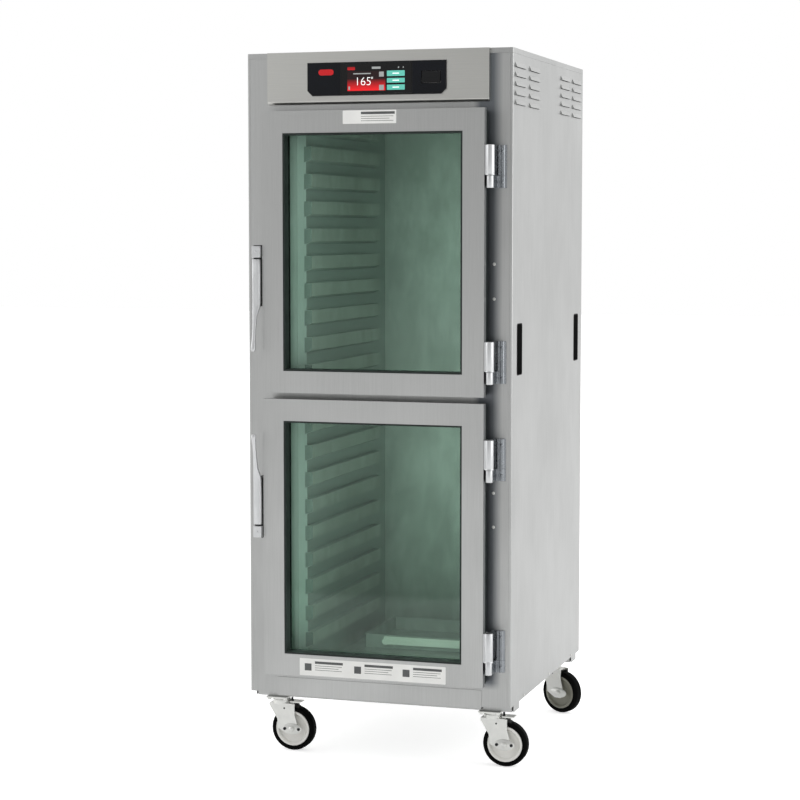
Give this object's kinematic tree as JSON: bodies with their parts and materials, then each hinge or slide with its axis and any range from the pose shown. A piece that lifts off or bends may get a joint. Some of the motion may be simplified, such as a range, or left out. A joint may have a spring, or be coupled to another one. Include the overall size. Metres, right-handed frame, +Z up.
{
  "type": "proofing cabinet",
  "caption": "Tall steel proofing cabinet with two glass doors, ribbed pan racks, water pan, heater, fan and digital control on swivel casters.",
  "frame": {"origin": "on the floor, below the middle of the cabinet body", "axes": "+X to the right seen from the doors, +Y from the doors to the back, +Z up"},
  "size_m": [0.798, 0.9391, 1.964],
  "materials": {
    "stainless_steel": "brushed",
    "liner_steel": "satin",
    "bright_steel": "polished",
    "chrome": "polished",
    "zinc_plate": "zinc plated",
    "galvanised_steel": "galvanised",
    "dark_metal": "satin",
    "black_plastic": "satin",
    "grey_plastic": "satin",
    "black_rubber": "matt",
    "tyre_rubber": "matt",
    "screen_glass": "gloss",
    "tinted_glass": "clear",
    "mineral_wool": "fibrous"
  },
  "bodies": {
    "cabinet": {"left_side_panel": "stainless_steel", "right_side_panel": "stainless_steel", "back_panel": "stainless_steel", "top_cover": "stainless_steel", "base_pan": "stainless_steel", "front_frame": "stainless_steel", "toe_panel": "stainless_steel", "control_housing": "stainless_steel", "left_lower_pan_rack": "liner_steel", "left_upper_pan_rack": "liner_steel", "right_lower_pan_rack": "liner_steel", "right_upper_pan_rack": "liner_steel", "chamber_liner": "liner_steel", "insulation": "mineral_wool", "heating_element": "bright_steel", "fan_motor": "dark_metal", "power_inlet": "black_plastic", "control_bezel": "black_plastic", "display_screen": "screen_glass", "lower_top_hinge_frame_half": "chrome", "lower_bottom_hinge_frame_half": "chrome", "lower_latch_housing": "chrome", "upper_top_hinge_frame_half": "chrome", "upper_bottom_hinge_frame_half": "chrome", "upper_latch_housing": "chrome", "front_left_caster_plate": "zinc_plate", "front_right_caster_plate": "zinc_plate", "rear_left_caster_plate": "zinc_plate", "rear_right_caster_plate": "zinc_plate"},
    "upper_door": {"upper_door_skin": "stainless_steel", "upper_door_core": "black_plastic", "upper_door_glass": "tinted_glass", "upper_door_gasket": "black_rubber", "upper_top_hinge_door_half": "chrome", "upper_bottom_hinge_door_half": "chrome"},
    "lower_door": {"lower_door_skin": "stainless_steel", "lower_door_core": "black_plastic", "lower_door_glass": "tinted_glass", "lower_door_gasket": "black_rubber", "lower_top_hinge_door_half": "chrome", "lower_bottom_hinge_door_half": "chrome"},
    "upper_lever": {"upper_latch_lever": "chrome"},
    "lower_lever": {"lower_latch_lever": "chrome"},
    "rocker": {"power_rocker": "black_plastic"},
    "fan": {"fan_wheel": "galvanised_steel"},
    "pan": {"water_pan": "bright_steel"},
    "front_left_fork": {"front_left_caster_fork": "zinc_plate"},
    "front_left_wheel": {"front_left_wheel_hub": "grey_plastic", "front_left_tyre": "tyre_rubber"},
    "front_right_fork": {"front_right_caster_fork": "zinc_plate"},
    "front_right_wheel": {"front_right_wheel_hub": "grey_plastic", "front_right_tyre": "tyre_rubber"},
    "rear_left_fork": {"rear_left_caster_fork": "zinc_plate"},
    "rear_left_wheel": {"rear_left_wheel_hub": "grey_plastic", "rear_left_tyre": "tyre_rubber"},
    "rear_right_fork": {"rear_right_caster_fork": "zinc_plate"},
    "rear_right_wheel": {"rear_right_wheel_hub": "grey_plastic", "rear_right_tyre": "tyre_rubber"},
    "front_left_pedal": {"front_left_brake_pedal": "zinc_plate"},
    "front_right_pedal": {"front_right_brake_pedal": "zinc_plate"}
  },
  "joints": [
    {"name": "upper_door_hinge", "type": "hinge", "parent": "cabinet", "child": "upper_door", "pos_m": [0.3295, -0.469, 1.031], "axis": [0, 0, 1], "range_deg": [0, 180]},
    {"name": "lower_door_hinge", "type": "hinge", "parent": "cabinet", "child": "lower_door", "pos_m": [0.3295, -0.469, 0.242], "axis": [0, 0, 1], "range_deg": [0, 180]},
    {"name": "upper_latch_lever_pull", "type": "hinge", "parent": "cabinet", "child": "upper_lever", "pos_m": [-0.33, -0.4878, 1.3975], "axis": [-1, 0, 0], "range_deg": [0, 25], "stiffness_Nm_per_rad": 2, "springref_deg": -17.19},
    {"name": "lower_latch_lever_pull", "type": "hinge", "parent": "cabinet", "child": "lower_lever", "pos_m": [-0.33, -0.4878, 0.6645], "axis": [1, 0, 0], "range_deg": [0, 25], "stiffness_Nm_per_rad": 2, "springref_deg": -17.19},
    {"name": "power_rocker_tip", "type": "hinge", "parent": "cabinet", "child": "rocker", "pos_m": [0.155, -0.4333, 1.889], "axis": [1, 0, 0], "range_deg": [0, 14]},
    {"name": "fan_spin", "type": "hinge", "parent": "cabinet", "child": "fan", "pos_m": [0, -0.001, 1.822], "axis": [0, 0, 1], "continuous": true},
    {"name": "water_pan_slide", "type": "slide", "parent": "cabinet", "child": "pan", "axis": [0, -1, 0], "range_m": [0, 0.28]},
    {"name": "front_left_swivel", "type": "hinge", "parent": "cabinet", "child": "front_left_fork", "pos_m": [-0.312, -0.351, 0.145], "axis": [0, 0, 1], "continuous": true},
    {"name": "front_left_wheel_spin", "type": "hinge", "parent": "front_left_fork", "child": "front_left_wheel", "pos_m": [-0.275, -0.351, 0.0635], "axis": [0, 1, 0], "continuous": true},
    {"name": "front_left_brake_press", "type": "hinge", "parent": "front_left_fork", "child": "front_left_pedal", "pos_m": [-0.281, -0.351, 0.1395], "axis": [0, 1, 0], "range_deg": [0, 15]},
    {"name": "front_right_swivel", "type": "hinge", "parent": "cabinet", "child": "front_right_fork", "pos_m": [0.312, -0.351, 0.145], "axis": [0, 0, 1], "continuous": true},
    {"name": "front_right_wheel_spin", "type": "hinge", "parent": "front_right_fork", "child": "front_right_wheel", "pos_m": [0.349, -0.351, 0.0635], "axis": [0, 1, 0], "continuous": true},
    {"name": "front_right_brake_press", "type": "hinge", "parent": "front_right_fork", "child": "front_right_pedal", "pos_m": [0.343, -0.351, 0.1395], "axis": [0, 1, 0], "range_deg": [0, 15]},
    {"name": "rear_left_swivel", "type": "hinge", "parent": "cabinet", "child": "rear_left_fork", "pos_m": [-0.312, 0.351, 0.145], "axis": [0, 0, 1], "continuous": true},
    {"name": "rear_left_wheel_spin", "type": "hinge", "parent": "rear_left_fork", "child": "rear_left_wheel", "pos_m": [-0.275, 0.351, 0.0635], "axis": [0, 1, 0], "continuous": true},
    {"name": "rear_right_swivel", "type": "hinge", "parent": "cabinet", "child": "rear_right_fork", "pos_m": [0.312, 0.351, 0.145], "axis": [0, 0, 1], "continuous": true},
    {"name": "rear_right_wheel_spin", "type": "hinge", "parent": "rear_right_fork", "child": "rear_right_wheel", "pos_m": [0.34654, 0.33774, 0.0635], "axis": [0.3584, 0.9336, 0], "continuous": true}
  ]
}
